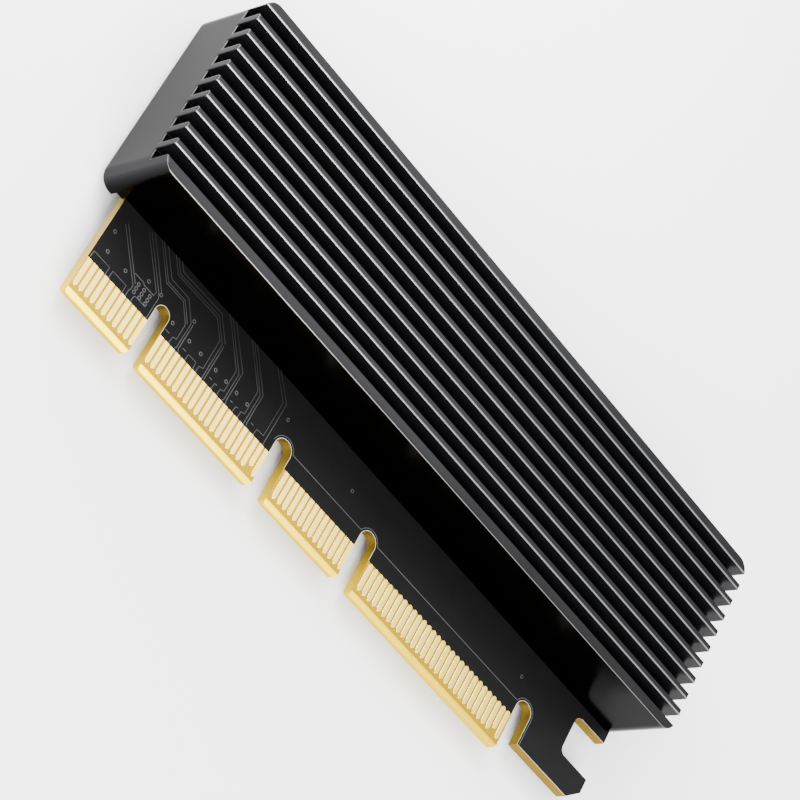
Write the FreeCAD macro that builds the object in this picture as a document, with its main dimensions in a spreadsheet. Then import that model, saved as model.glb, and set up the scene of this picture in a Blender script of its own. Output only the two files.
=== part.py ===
import FreeCAD, Part
import math
import os

import Sketcher

# NVMe adapter card: a circuit board with a sixteen-lane edge connector on its lower side, an M.2
# socket on its component side, and an aluminium fin heatsink screwed over the solid-state drive's
# bay. The drive and the slot bracket are bought apart and are not part of the card.
#
# Frame, in millimetres: X runs from the bracket end to the latch end, Y from the connector's tip to
# the top edge, Z from the solder side to the component side. The origin is on the axis of the key
# notch, at the tongues' tips, half way through the board.

Vector = FreeCAD.Vector
doc = FreeCAD.newDocument("NvmeAdapterCard")
sheet = doc.addObject("Spreadsheet::Sheet", "Sizes")

# Each driving size is written once here: name, value, meaning.
DRIVING_SIZES = [
    ("board_thickness", 1.57, "circuit board, copper and mask included"),
    ("board_left", 12.0, "from the key notch's axis to the bracket end of the board"),
    ("board_right", 87.75, "from the key notch's axis to the latch end of the board"),
    ("edge_radius", 0.6, "rounded lower corners of the tongues"),
    ("bevel_length", 0.6, "lead-in bevel of the tongues, along the board"),
    ("bevel_depth", 0.45, "lead-in bevel of the tongues, through the board"),
    ("contact_spacing", 1.0, "edge contacts, centre to centre"),
    ("contact_width", 0.7, "edge contact"),
    ("contact_thickness", 0.05, "copper and gold above the laminate"),
    ("contact_bottom", 1.22, "tongue tip to the lower end of a contact"),
    ("contact_corner", 0.2, "cut corners at the ends of a contact"),
    ("short_setback", 0.8, "how much later a presence-detect contact starts"),
    ("mask_line", 5.27, "tongue tip to the edge of the solder mask, where the contacts go under it"),
    ("contact_overlap", 0.2, "how far the longest tongue's contacts reach over the mask"),
    ("first_contacts", 11, "contacts on the first tongue, before the key"),
    ("second_contacts", 21, "contacts on the second tongue"),
    ("third_contacts", 14, "contacts on the third tongue"),
    ("fourth_contacts", 30, "contacts on the fourth tongue"),
    ("wide_notch_pins", 3, "contact places taken up by a wide notch"),
    ("key_to_contact", 1.5, "key notch's axis to the nearest contact on each side"),
    ("contact_margin", 0.37, "contact's centre line to the notch wall beside it"),
    ("last_margin", 0.6, "last contact's centre line to the last notch"),
    ("key_height", 8.4, "tongue tip to the round end of the key notch"),
    ("notch_width", 2.85, "notches between the wider connector sizes"),
    ("notch_height", 8.35, "tongue tip to the round end of those notches"),
    ("tab_bottom", 2.97, "tongue tip to the lower edge of the latch tab"),
    ("tab_chamfer", 2.0, "outer lower corner of the latch tab"),
    ("gap_left", 81.8, "key notch's axis to the inner wall of the latch gap"),
    ("gap_bottom", 7.07, "tongue tip to the upper edge of the latch hook"),
    ("gap_top", 12.92, "tongue tip to the upper wall of the latch gap"),
    ("gap_radius", 0.9, "inner corners of the latch gap"),
    ("sink_bottom", 14.5, "tongue tip to the heatsink's near wall"),
    ("sink_width", 28.1, "heatsink across its fins"),
    ("sink_height", 10.0, "heatsink above the board"),
    ("sink_corner", 2.0, "upright corners of the heatsink"),
    ("end_overhang", 3.5, "heatsink past the bracket end of the board"),
    ("rim_wall", 0.8, "rim that hides the board's other edges"),
    ("rim_drop", 0.6, "how far the rim reaches below the board's component side"),
    ("foot_length", 2.4, "end foot of the heatsink, flush with the solder side"),
    ("board_clearance", 0.1, "gap between the board's edge and the rim"),
    ("outer_fin", 1.45, "thickness of the two outer fins"),
    ("channel_width", 1.74, "clear width between two fins"),
    ("channel_depth", 3.4, "height of the fins"),
    ("channel_count", 10, "channels between the fins"),
    ("fin_chamfer", 0.12, "broken edges of the fins and of the channels' floors"),
    ("bay_clearance", 0.2, "gap between the socket's solder tabs and the bay's walls"),
    ("solder_room", 0.6, "gap between the socket's soldered feet and the bay's end"),
    ("bay_end_room", 3.2, "gap between the standoff and the bay's other end"),
    ("bay_depth", 5.2, "bay's ceiling above the board"),
    ("bay_radius", 1.5, "milled corners of the bay"),
    ("rear_bay_length", 4.0, "room behind the socket for the small parts"),
    ("boss_wall", 2.1, "metal left between that room and a threaded hole"),
    ("screw_inset_x", 2.6, "heatsink screw to the board's end"),
    ("screw_inset_y", 3.0, "heatsink screw to the heatsink's wall"),
    ("screw_hole", 2.2, "clearance hole in the board, diameter"),
    ("thread_hole", 2.0, "threaded hole for an M2 screw, diameter"),
    ("thread_depth", 4.6, "depth of the heatsink's threaded holes"),
    ("thread_clearance", 0.05, "play left round a plain screw shank, on the radius"),
    ("screw_length", 5.0, "heatsink screw below its head"),
    ("screw_head", 4.0, "M2 pan head, diameter"),
    ("screw_head_height", 1.3, "M2 pan head, height"),
    ("recess_width", 0.55, "arm of the cross recess"),
    ("recess_length", 2.0, "cross recess, tip to tip"),
    ("recess_depth", 0.7, "depth of the cross recess"),
    ("drive_length", 80.0, "M.2 2280 drive, edge to screw"),
    ("mid_drive_length", 60.0, "M.2 2260 drive"),
    ("short_drive_length", 42.0, "M.2 2242 drive"),
    ("socket_start", 5.9, "key notch's axis to the socket's back, towards the bracket end"),
    ("socket_length", 7.7, "socket housing along the board"),
    ("socket_width", 21.9, "socket housing across the board"),
    ("socket_height", 4.2, "socket housing above the board"),
    ("slot_wall", 0.95, "socket housing beside the card slot"),
    ("slot_depth", 5.0, "card slot, front face to its end"),
    ("slot_floor", 2.35, "card slot's floor above the board"),
    ("card_thickness", 0.8, "drive's own board"),
    ("spring_thickness", 0.15, "socket contact strip"),
    ("spring_width", 0.22, "socket contact"),
    ("spring_foot", 0.55, "soldered foot of a socket contact"),
    ("spring_spacing", 0.5, "socket contacts of one row, centre to centre"),
    ("spring_setback", 1.2, "upper contacts behind the mouth of the card slot"),
    ("spring_places", 75, "contact places of the socket, both rows"),
    ("key_first_place", 59, "first contact place left out for the drive's key"),
    ("key_last_place", 66, "last contact place left out for the drive's key"),
    ("key_rib", 1.0, "rib that fits the drive's key"),
    ("lead_in", 0.35, "chamfer at the mouth of the card slot"),
    ("post_inset", 1.45, "locating post to the end of the socket housing"),
    ("post_diameter", 1.2, "locating post"),
    ("post_length", 1.2, "locating post below the housing"),
    ("post_clearance", 0.1, "play round a locating post, on the radius"),
    ("tab_length", 2.2, "solder tab at each end of the socket"),
    ("tab_height", 1.4, "solder tab above the board"),
    ("tab_thickness", 0.2, "solder tab sheet"),
    ("tab_foot", 0.45, "solder tab's foot"),
    ("standoff_height", 2.5, "standoff above the board, level with the drive's underside"),
    ("standoff_diameter", 5.0, "standoff shoulder"),
    ("standoff_hole", 3.4, "hole in the board for the standoff's spigot, diameter"),
    ("spigot_clearance", 0.1, "play round the spigot, on the radius"),
    ("spigot_length", 1.4, "spigot below the standoff's shoulder"),
    ("small_screw_length", 1.7, "screw in either end of the standoff, below its head"),
    ("flat_head_height", 0.8, "head of the drive's screw and the standoff's screw"),
    ("pad_start", 5.0, "key notch's axis to the thermal pad"),
    ("pad_length", 68.0, "thermal pad"),
    ("pad_width", 20.0, "thermal pad"),
    ("pad_thickness", 0.5, "thermal pad"),
    ("bulk_length", 3.2, "bulk capacitor"),
    ("bulk_width", 2.5, "bulk capacitor"),
    ("bulk_height", 1.8, "bulk capacitor"),
    ("chip_length", 1.6, "ceramic capacitor and resistor"),
    ("chip_width", 0.8, "ceramic capacitor and resistor"),
    ("capacitor_height", 0.8, "ceramic capacitor"),
    ("resistor_height", 0.45, "chip resistor"),
    ("chip_edge", 0.08, "broken edges of the small parts"),
    ("chip_spacing", 1.9, "small parts in their row, centre to centre"),
]
for row, (alias, number, meaning) in enumerate(DRIVING_SIZES, start=1):
    sheet.set(f"A{row}", alias)
    sheet.set(f"B{row}", str(number))
    sheet.set(f"C{row}", meaning)
    sheet.setAlias(f"B{row}", alias)
doc.recompute()
SIZE = {alias: float(sheet.get(alias)) for alias, _, _ in DRIVING_SIZES}

# Expressions that several features share.
TOP_FACE = "Sizes.board_thickness / 2"
BOARD_HEIGHT = "(Sizes.sink_bottom + Sizes.sink_width - Sizes.rim_wall - Sizes.board_clearance)"
SINK_LEFT = "(-Sizes.board_left - Sizes.end_overhang)"
SINK_RIGHT = "(Sizes.board_right + Sizes.board_clearance + Sizes.rim_wall)"
BAY_MIDDLE = "(Sizes.sink_bottom + Sizes.sink_width / 2)"
SOCKET_FRONT = "(Sizes.socket_length - Sizes.socket_start)"
STANDOFF_X = f"({SOCKET_FRONT} - Sizes.slot_depth + Sizes.drive_length)"
BAY_START = "(-Sizes.socket_start - Sizes.spring_thickness - Sizes.spring_foot - Sizes.solder_room)"
BAY_END = f"({STANDOFF_X} + Sizes.standoff_diameter / 2 + Sizes.bay_end_room)"
BAY_WIDTH = "(Sizes.socket_width + 2 * (Sizes.tab_thickness + Sizes.tab_foot + Sizes.bay_clearance))"
REAR_BAY_WIDTH = "(Sizes.sink_width - 2 * Sizes.screw_inset_y - Sizes.thread_hole - 2 * Sizes.boss_wall)"
POST_SPREAD = "(Sizes.socket_width / 2 - Sizes.post_inset)"
SLOT_WIDTH = "(Sizes.socket_width - 2 * Sizes.slot_wall)"
SCREW_FAR_Y = "(Sizes.sink_bottom + Sizes.sink_width - Sizes.screw_inset_y)"
FIN_PITCH = ("((Sizes.sink_width - 2 * Sizes.outer_fin - Sizes.channel_width)"
             " / (Sizes.channel_count - 1))")
OVERCUT = 1.0  # how far a cut starts outside the solid it opens

# The same places as numbers, for the groups that a loop makes.
top_face = SIZE["board_thickness"] / 2
bay_middle = SIZE["sink_bottom"] + SIZE["sink_width"] / 2
socket_back = -SIZE["socket_start"]
socket_front = SIZE["socket_length"] - SIZE["socket_start"]
card_end = socket_front - SIZE["slot_depth"]
bay_start = socket_back - SIZE["spring_thickness"] - SIZE["spring_foot"] - SIZE["solder_room"]
screw_places = [
    (x, y)
    for x in (-SIZE["board_left"] + SIZE["screw_inset_x"], SIZE["board_right"] - SIZE["screw_inset_x"])
    for y in (SIZE["sink_bottom"] + SIZE["screw_inset_y"],
              SIZE["sink_bottom"] + SIZE["sink_width"] - SIZE["screw_inset_y"])
]


def new_body(label):
    body = doc.addObject("PartDesign::Body", label)
    body.Label = label
    return body


def new_sketch(body, name, plane, at=("0", "0", "0")):
    """A sketch on one of the body's own origin planes, moved in that plane and off it by expressions."""
    sketch = body.newObject("Sketcher::SketchObject", name)
    support = next(item for item in body.Origin.OriginFeatures if item.Role == plane)
    sketch.AttachmentSupport = [(support, "")]
    sketch.MapMode = "FlatFace"
    for axis, expression in zip("xyz", at):
        sketch.setExpression(f"AttachmentOffset.Base.{axis}", expression)
    return sketch


def dimension(sketch, name, expression, *constraint):
    """A named driving dimension, bound to the sheet."""
    sketch.addConstraint(Sketcher.Constraint(*constraint))
    sketch.renameConstraint(sketch.ConstraintCount - 1, name)
    sketch.setExpression(f"Constraints.{name}", expression)


def polygon(sketch, corners):
    """A closed outline of straight lines through the corners, joined end to end."""
    for here, there in zip(corners, corners[1:] + corners[:1]):
        sketch.addGeometry(Part.LineSegment(Vector(*here, 0), Vector(*there, 0)))
    count = len(corners)
    for line in range(count):
        sketch.addConstraint(Sketcher.Constraint("Coincident", line, 2, (line + 1) % count, 1))


def rectangle(body, name, plane, at, width, height):
    """A rectangle from its lower left corner, which the attachment puts in place."""
    sketch = new_sketch(body, name, plane, at)
    polygon(sketch, [(0, 0), (1, 0), (1, 1), (0, 1)])
    for line, kind in enumerate(("Horizontal", "Vertical", "Horizontal", "Vertical")):
        sketch.addConstraint(Sketcher.Constraint(kind, line))
    sketch.addConstraint(Sketcher.Constraint("Coincident", 0, 1, -1, 1))
    dimension(sketch, "width", width, "DistanceX", 0, 1, 0, 2, 1.0)
    dimension(sketch, "height", height, "DistanceY", 1, 1, 1, 2, 1.0)
    return sketch


def circle(body, name, plane, at, diameter):
    """A circle about the attachment's own origin."""
    sketch = new_sketch(body, name, plane, at)
    sketch.addGeometry(Part.Circle(Vector(0, 0, 0), Vector(0, 0, 1), 1.0))
    sketch.addConstraint(Sketcher.Constraint("Coincident", 0, 3, -1, 1))
    dimension(sketch, "diameter", diameter, "Diameter", 0, 2.0)
    return sketch


def check_change(feature, before, grows):
    doc.recompute()
    change = feature.Shape.Volume - before
    if change == 0 or (change > 0) != grows:
        raise RuntimeError(f"{feature.Label} changed the volume by {change:.4f} mm3")
    return feature


def pad(body, sketch, length, downwards=False):
    before = body.Shape.Volume if body.Tip and not body.Shape.isNull() else 0.0
    feature = body.newObject("PartDesign::Pad", sketch.Name + "Pad")
    feature.Profile = sketch
    feature.setExpression("Length", length)
    feature.Reversed = downwards
    return check_change(feature, before, grows=True)


def pocket(body, sketch, length=None, upwards=False):
    """A cut along the sketch's normal: through everything both ways, or a given length one way."""
    doc.recompute()
    before = body.Shape.Volume
    feature = body.newObject("PartDesign::Pocket", sketch.Name + "Pocket")
    feature.Profile = sketch
    if length is None:
        feature.Type = "ThroughAll"
        feature.Midplane = True
    else:
        feature.setExpression("Length", length)
        feature.Reversed = upwards
    return check_change(feature, before, grows=False)


def edges_of(feature, wanted):
    """Names of the feature's edges whose two ends and middle pass the test."""
    names = []
    for number, edge in enumerate(feature.Shape.Edges, start=1):
        if edge.Length > 1e-6 and wanted(edge):
            names.append(f"Edge{number}")
    return names


def runs_along(edge, axis):
    box = edge.BoundBox
    spans = {"x": box.XLength, "y": box.YLength, "z": box.ZLength}
    return all((span > 1e-4) == (name == axis) for name, span in spans.items())


def near(value, target, tolerance=1e-3):
    return abs(value - target) < tolerance


def dress(body, kind, base, names, size):
    """A Fillet or Chamfer on named edges of the base feature."""
    if not names:
        raise RuntimeError(f"no edges found for a {kind} on {base.Label}")
    feature = body.newObject("PartDesign::" + kind, base.Name + kind)
    feature.Base = (base, names)
    feature.setExpression("Radius" if kind == "Fillet" else "Size", size)
    doc.recompute()
    return feature


def group(label, shapes):
    """Separate like solids that share one node."""
    feature = doc.addObject("Part::Feature", label)
    feature.Label = label
    feature.Shape = Part.makeCompound(shapes)
    feature.Placement = FreeCAD.Placement()
    return feature


# ---------------------------------------------------------------------------- edge contacts


def tongue_contacts():
    """For each tongue, the X of each of its contacts, in order from the bracket end."""
    pitch = SIZE["contact_spacing"]
    first = -SIZE["key_to_contact"] - (SIZE["first_contacts"] - 1) * pitch
    rows = [[first + place * pitch for place in range(int(SIZE["first_contacts"]))]]
    start = SIZE["key_to_contact"]
    for name in ("second_contacts", "third_contacts", "fourth_contacts"):
        rows.append([start + place * pitch for place in range(int(SIZE[name]))])
        start = rows[-1][-1] + (SIZE["wide_notch_pins"] + 1) * pitch
    return rows


def contact(x, bottom, top, narrow_top, side):
    """One gold contact on the board's face: a strip with a narrowed lower end."""
    half = SIZE["contact_width"] / 2
    cut = SIZE["contact_corner"]
    half_outline = [(half - cut, bottom), (half, bottom + cut)]
    half_outline += [(half, top - cut), (half - cut, top)] if narrow_top else [(half, top)]
    points = [Vector(x + out, y, side * top_face) for out, y in half_outline]
    points += [Vector(x - out, y, side * top_face) for out, y in reversed(half_outline)]
    face = Part.Face(Part.makePolygon(points + points[:1]))
    return face.extrude(Vector(0, 0, side * SIZE["contact_thickness"]))


def edge_contacts(label, side, short_places):
    """All contacts of one side. The presence-detect contacts start later than the others."""
    solids = []
    number = 0
    rows = tongue_contacts()
    for tongue, row in enumerate(rows):
        longest = tongue == len(rows) - 1
        top = SIZE["mask_line"] + (SIZE["contact_overlap"] if longest else 0.0)
        for x in row:
            number += 1
            bottom = SIZE["contact_bottom"] + (SIZE["short_setback"] if number in short_places else 0.0)
            solids.append(contact(x, bottom, top, longest, side))
    return group(label, solids)


contact_rows = tongue_contacts()
contact_total = sum(len(row) for row in contact_rows)
# One presence-detect contact is the last but one of the second tongue, one the last but one of all.
second_detect = len(contact_rows[0]) + len(contact_rows[1]) - 1
component_side_contacts = edge_contacts("component_side_contacts", 1, (second_detect, contact_total - 1))
solder_side_contacts = edge_contacts("solder_side_contacts", -1, (1,))

# ---------------------------------------------------------------------------- circuit board


def notch(body, name, x, width, height):
    """A slot up from the tongues' tips, with a full round end."""
    sketch = new_sketch(body, name, "XY_Plane", (x, "0", "0"))
    radius, centre, low = 1.0, 6.0, -OVERCUT
    sketch.addGeometry(Part.LineSegment(Vector(-radius, low, 0), Vector(-radius, centre, 0)))
    round_end = Part.Circle(Vector(0, centre, 0), Vector(0, 0, 1), radius)
    sketch.addGeometry(Part.ArcOfCircle(round_end, 0, math.pi))
    sketch.addGeometry(Part.LineSegment(Vector(radius, centre, 0), Vector(radius, low, 0)))
    sketch.addGeometry(Part.LineSegment(Vector(radius, low, 0), Vector(-radius, low, 0)))
    sketch.addConstraint(Sketcher.Constraint("Tangent", 0, 2, 1, 2))
    sketch.addConstraint(Sketcher.Constraint("Tangent", 1, 1, 2, 1))
    sketch.addConstraint(Sketcher.Constraint("Coincident", 2, 2, 3, 1))
    sketch.addConstraint(Sketcher.Constraint("Coincident", 3, 2, 0, 1))
    sketch.addConstraint(Sketcher.Constraint("Vertical", 0))
    sketch.addConstraint(Sketcher.Constraint("Vertical", 2))
    sketch.addConstraint(Sketcher.Constraint("Horizontal", 3))
    sketch.addConstraint(Sketcher.Constraint("PointOnObject", 1, 3, -2))
    dimension(sketch, "radius", f"{width} / 2", "Radius", 1, radius)
    dimension(sketch, "centre", f"{height} - {width} / 2", "DistanceY", -1, 1, 1, 3, centre)
    sketch.addConstraint(Sketcher.Constraint("DistanceY", 3, 1, -1, 1, OVERCUT))
    return pocket(body, sketch)


def round_hole(body, name, x, y, diameter):
    return pocket(body, circle(body, name, "XY_Plane", (x, y, "0"), diameter))


board = new_body("circuit_board")
outline = rectangle(board, "BoardOutline", "XY_Plane", ("-Sizes.board_left", "0", f"-{TOP_FACE}"),
                    "Sizes.board_left + Sizes.board_right", BOARD_HEIGHT)
pad(board, outline, "Sizes.board_thickness")

KEY_WIDTH = "(2 * (Sizes.key_to_contact - Sizes.contact_margin))"
SECOND_END = "(Sizes.key_to_contact + (Sizes.second_contacts - 1) * Sizes.contact_spacing)"
SKIP = "(Sizes.wide_notch_pins + 1) * Sizes.contact_spacing"
THIRD_END = f"({SECOND_END} + {SKIP} + (Sizes.third_contacts - 1) * Sizes.contact_spacing)"
FOURTH_END = f"({THIRD_END} + {SKIP} + (Sizes.fourth_contacts - 1) * Sizes.contact_spacing)"
LAST_NOTCH = f"({FOURTH_END} + Sizes.last_margin)"
notch(board, "KeyNotch", "0", KEY_WIDTH, "Sizes.key_height")
notch(board, "SecondNotch", f"{SECOND_END} + Sizes.contact_margin + Sizes.notch_width / 2",
      "Sizes.notch_width", "Sizes.notch_height")
notch(board, "ThirdNotch", f"{THIRD_END} + Sizes.contact_margin + Sizes.notch_width / 2",
      "Sizes.notch_width", "Sizes.notch_height")
notch(board, "LatchNotch", f"{LAST_NOTCH} + Sizes.notch_width / 2", "Sizes.notch_width",
      "Sizes.notch_height")

# The latch tab: its lower edge is above the tongues' tips, with a chamfered outer corner, and a gap
# behind it makes the hook that the slot's latch holds.
NOTCH_AXIS = f"({LAST_NOTCH} + Sizes.notch_width / 2)"
below_tab = rectangle(board, "BelowTab", "XY_Plane", (NOTCH_AXIS, f"-{OVERCUT}", "0"),
                      f"Sizes.board_right + {OVERCUT} - {NOTCH_AXIS}", f"Sizes.tab_bottom + {OVERCUT}")
pocket(board, below_tab)
latch_gap = rectangle(board, "LatchGap", "XY_Plane", ("Sizes.gap_left", "Sizes.gap_bottom", "0"),
                      f"Sizes.board_right + {OVERCUT} - Sizes.gap_left", "Sizes.gap_top - Sizes.gap_bottom")
gap_cut = pocket(board, latch_gap)
gap_corners = edges_of(gap_cut, lambda edge: runs_along(edge, "z")
                       and near(edge.BoundBox.XMin, SIZE["gap_left"]))
gap_rounded = dress(board, "Fillet", gap_cut, gap_corners, "Sizes.gap_radius")
tab_corner = edges_of(gap_rounded, lambda edge: runs_along(edge, "z")
                      and near(edge.BoundBox.XMin, SIZE["board_right"])
                      and near(edge.BoundBox.YMin, SIZE["tab_bottom"]))
tab_cut = dress(board, "Chamfer", gap_rounded, tab_corner, "Sizes.tab_chamfer")
tongue_corners = edges_of(tab_cut, lambda edge: runs_along(edge, "z") and near(edge.BoundBox.YMin, 0.0))
dress(board, "Fillet", tab_cut, tongue_corners, "Sizes.edge_radius")

# Lead-in bevels on both faces of the tongues.
for side, name in ((1, "UpperBevel"), (-1, "LowerBevel")):
    bevel = new_sketch(board, name, "YZ_Plane", ("0", f"{side} * {TOP_FACE}", "0"))
    reach = OVERCUT * SIZE["bevel_length"] / SIZE["bevel_depth"]
    polygon(bevel, [(0, -side * SIZE["bevel_depth"]), (SIZE["bevel_length"], 0),
                    (SIZE["bevel_length"] + reach, side * OVERCUT), (-OVERCUT, side * OVERCUT),
                    (-OVERCUT, -side * SIZE["bevel_depth"])])
    bevel.addConstraint(Sketcher.Constraint("Horizontal", 2))
    bevel.addConstraint(Sketcher.Constraint("Vertical", 3))
    bevel.addConstraint(Sketcher.Constraint("Horizontal", 4))
    bevel.addConstraint(Sketcher.Constraint("Parallel", 0, 1))
    bevel.addConstraint(Sketcher.Constraint("PointOnObject", 0, 1, -2))
    bevel.addConstraint(Sketcher.Constraint("PointOnObject", 0, 2, -1))
    ends = (0, 1, -1, 1) if side > 0 else (-1, 1, 0, 1)
    dimension(bevel, "depth", "Sizes.bevel_depth", "DistanceY", *ends, SIZE["bevel_depth"])
    dimension(bevel, "length", "Sizes.bevel_length", "DistanceX", -1, 1, 0, 2, SIZE["bevel_length"])
    bevel.addConstraint(Sketcher.Constraint("DistanceX", 3, 1, -1, 1, OVERCUT))
    outer = (-1, 1, 3, 1) if side > 0 else (3, 1, -1, 1)
    bevel.addConstraint(Sketcher.Constraint("DistanceY", *outer, OVERCUT))
    pocket(board, bevel)

# Holes: heatsink screws, socket posts, and a place for the standoff at each drive length.
SCREW_XS = ("Sizes.screw_inset_x - Sizes.board_left", "Sizes.board_right - Sizes.screw_inset_x")
SCREW_YS = ("Sizes.sink_bottom + Sizes.screw_inset_y", SCREW_FAR_Y)
for column, x in enumerate(SCREW_XS, start=1):
    for line, y in enumerate(SCREW_YS, start=1):
        round_hole(board, f"ScrewHole{column}{line}", x, y, "Sizes.screw_hole")
POST_X = f"({SOCKET_FRONT} - Sizes.socket_length / 2)"
for side, name in ((1, "FarPostHole"), (-1, "NearPostHole")):
    round_hole(board, name, POST_X, f"{BAY_MIDDLE} + {side} * {POST_SPREAD}",
               "Sizes.post_diameter + 2 * Sizes.post_clearance")
CARD_END = f"({SOCKET_FRONT} - Sizes.slot_depth)"
for name, length in (("StandoffHole", "drive_length"), ("MidHole", "mid_drive_length"),
                     ("ShortHole", "short_drive_length")):
    round_hole(board, name, f"{CARD_END} + Sizes.{length}", BAY_MIDDLE, "Sizes.standoff_hole")

# ---------------------------------------------------------------------------- heatsink

sink = new_body("heatsink")
block = rectangle(sink, "SinkOutline", "XY_Plane", (SINK_LEFT, "Sizes.sink_bottom", f"-{TOP_FACE}"),
                  f"{SINK_RIGHT} - {SINK_LEFT}", "Sizes.sink_width")
block_pad = pad(sink, block, "Sizes.board_thickness + Sizes.sink_height")
block_box = block_pad.Shape.BoundBox
upright = edges_of(block_pad, lambda edge: runs_along(edge, "z"))
rounded = dress(sink, "Fillet", block_pad, upright, "Sizes.sink_corner")
rim = edges_of(rounded, lambda edge: near(edge.BoundBox.ZMin, block_box.ZMax))
dress(sink, "Chamfer", rounded, rim, "Sizes.fin_chamfer")

# One channel is cut along the whole block, with its mouth broken, and repeated across it.
channel = new_sketch(sink, "Channel", "YZ_Plane",
                     ("Sizes.sink_bottom + Sizes.outer_fin + Sizes.channel_width / 2",
                      f"{TOP_FACE} + Sizes.sink_height", "0"))
half_width = SIZE["channel_width"] / 2
mouth = half_width + SIZE["fin_chamfer"]
polygon(channel, [(-half_width, -SIZE["channel_depth"]), (half_width, -SIZE["channel_depth"]),
                  (half_width, -SIZE["fin_chamfer"]), (mouth, 0), (mouth, OVERCUT), (-mouth, OVERCUT),
                  (-mouth, 0), (-half_width, -SIZE["fin_chamfer"])])
channel.addConstraint(Sketcher.Constraint("Horizontal", 4))
for line in (1, 3, 5, 7):
    channel.addConstraint(Sketcher.Constraint("Vertical", line))
channel.addConstraint(Sketcher.Constraint("Symmetric", 0, 1, 0, 2, -2))
channel.addConstraint(Sketcher.Constraint("Horizontal", 7, 1, 2, 1))
channel.addConstraint(Sketcher.Constraint("Symmetric", 6, 1, 3, 1, -2))
channel.addConstraint(Sketcher.Constraint("PointOnObject", 3, 1, -1))
dimension(channel, "width", "Sizes.channel_width", "DistanceX", 0, 1, 0, 2, SIZE["channel_width"])
dimension(channel, "mouth", "Sizes.channel_width + 2 * Sizes.fin_chamfer", "DistanceX", 6, 1, 3, 1, 2 * mouth)
dimension(channel, "depth", "Sizes.channel_depth", "DistanceY", 0, 2, -1, 1, SIZE["channel_depth"])
dimension(channel, "bevel", "Sizes.fin_chamfer", "DistanceY", 2, 1, -1, 1, SIZE["fin_chamfer"])
channel.addConstraint(Sketcher.Constraint("DistanceY", -1, 1, 4, 1, OVERCUT))
first_channel = pocket(sink, channel)
fins = sink.newObject("PartDesign::LinearPattern", "Fins")
fins.Originals = [first_channel]
fins.Direction = (channel, ["H_Axis"])
fins.setExpression("Occurrences", "Sizes.channel_count")
fins.setExpression("Length", f"{FIN_PITCH} * (Sizes.channel_count - 1)")
sink.Tip = fins
check_change(fins, first_channel.Shape.Volume, grows=False)
channel_floor = block_box.ZMax - SIZE["channel_depth"]
floor_ends = edges_of(fins, lambda edge: near(edge.BoundBox.ZMin, channel_floor)
                      and near(edge.BoundBox.ZMax, channel_floor) and runs_along(edge, "y"))
dress(sink, "Chamfer", fins, floor_ends, "Sizes.fin_chamfer")

# Underside: the block is milled back to the rim, then to the seat on the board, then to the bay.
LEFT_CUT = f"({SINK_LEFT} + Sizes.foot_length)"
FAR_OUT = "Sizes.sink_bottom + Sizes.sink_width"
rim_cut = rectangle(sink, "RimCut", "XY_Plane",
                    (LEFT_CUT, f"Sizes.sink_bottom - {OVERCUT}", f"-{TOP_FACE} - {OVERCUT}"),
                    f"{SINK_RIGHT} - {LEFT_CUT} + {OVERCUT}", f"Sizes.sink_width + 2 * {OVERCUT}")
pocket(sink, rim_cut, f"{OVERCUT} + Sizes.board_thickness - Sizes.rim_drop", upwards=True)
seat = rectangle(sink, "Seat", "XY_Plane",
                 ("-Sizes.board_left - Sizes.board_clearance", f"Sizes.sink_bottom - {OVERCUT}",
                  f"-{TOP_FACE}"),
                 "Sizes.board_left + Sizes.board_right + 2 * Sizes.board_clearance",
                 f"Sizes.sink_width + {OVERCUT} - Sizes.rim_wall")
pocket(sink, seat, "Sizes.board_thickness", upwards=True)
bay = rectangle(sink, "Bay", "XY_Plane", (BAY_START, f"{BAY_MIDDLE} - {BAY_WIDTH} / 2", "0"),
                f"{BAY_END} - {BAY_START}", BAY_WIDTH)
bay_cut = pocket(sink, bay, f"{TOP_FACE} + Sizes.bay_depth", upwards=True)
ceiling = top_face + SIZE["bay_depth"]
bay_corners = edges_of(bay_cut, lambda edge: runs_along(edge, "z") and near(edge.BoundBox.ZMax, ceiling))
dress(sink, "Fillet", bay_cut, bay_corners, "Sizes.bay_radius")
rear_bay = rectangle(sink, "RearBay", "XY_Plane",
                     (f"{BAY_START} - Sizes.rear_bay_length", f"{BAY_MIDDLE} - {REAR_BAY_WIDTH} / 2", "0"),
                     f"Sizes.rear_bay_length + Sizes.bay_radius + {OVERCUT}", REAR_BAY_WIDTH)
rear_cut = pocket(sink, rear_bay, f"{TOP_FACE} + Sizes.bay_depth", upwards=True)
rear_end = bay_start - SIZE["rear_bay_length"]
rear_corners = edges_of(rear_cut, lambda edge: runs_along(edge, "z")
                        and near(edge.BoundBox.ZMax, ceiling) and near(edge.BoundBox.XMin, rear_end))
dress(sink, "Fillet", rear_cut, rear_corners, "Sizes.bay_radius")
for column, x in enumerate(SCREW_XS, start=1):
    for line, y in enumerate(SCREW_YS, start=1):
        thread = circle(sink, f"Thread{column}{line}", "XY_Plane", (x, y, "0"), "Sizes.thread_hole")
        pocket(sink, thread, f"{TOP_FACE} + Sizes.thread_depth", upwards=True)

# ---------------------------------------------------------------------------- thermal pad

thermal_pad = new_body("thermal_pad")
pad_outline = rectangle(thermal_pad, "PadOutline", "XY_Plane",
                        ("Sizes.pad_start", f"{BAY_MIDDLE} - Sizes.pad_width / 2",
                         f"{TOP_FACE} + Sizes.bay_depth - Sizes.pad_thickness"),
                        "Sizes.pad_length", "Sizes.pad_width")
pad_block = pad(thermal_pad, pad_outline, "Sizes.pad_thickness")
pad_corners = edges_of(pad_block, lambda edge: runs_along(edge, "z"))
dress(thermal_pad, "Fillet", pad_block, pad_corners, "Sizes.pad_thickness")

# ---------------------------------------------------------------------------- M.2 socket

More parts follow.
